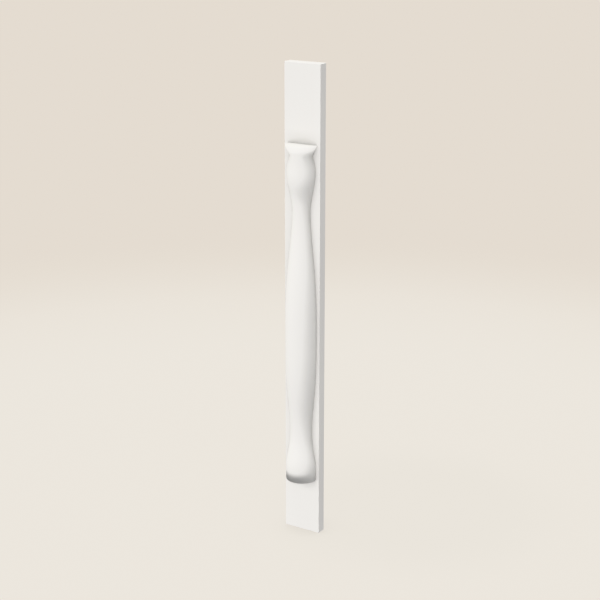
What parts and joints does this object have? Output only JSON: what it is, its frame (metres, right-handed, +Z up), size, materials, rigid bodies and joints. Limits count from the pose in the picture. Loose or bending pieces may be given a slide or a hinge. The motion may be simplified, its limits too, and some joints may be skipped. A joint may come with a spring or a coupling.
{
  "type": "pilaster",
  "caption": "Slim applied pilaster: a plain white-painted backing board with a split vase-turned baluster planted on its face, flat at the back to fix to a wall or cabinet.",
  "frame": {"origin": "centre of the board's flat back face, which lies against the wall or cabinet", "axes": "+Z up along the board, from the foot end to the head end; -Y is the front, where the turning stands out; +Y is into the wall; +X is to the right seen from the front"},
  "size_m": [0.0762, 0.0508, 0.9144],
  "materials": {
    "board_paint": "white low-sheen paint, brushed along the board",
    "turning_paint": "white low-sheen paint over a fine turned surface"
  },
  "bodies": {
    "root": {"backing_board": "board_paint", "split_baluster": "turning_paint"}
  },
  "joints": []
}
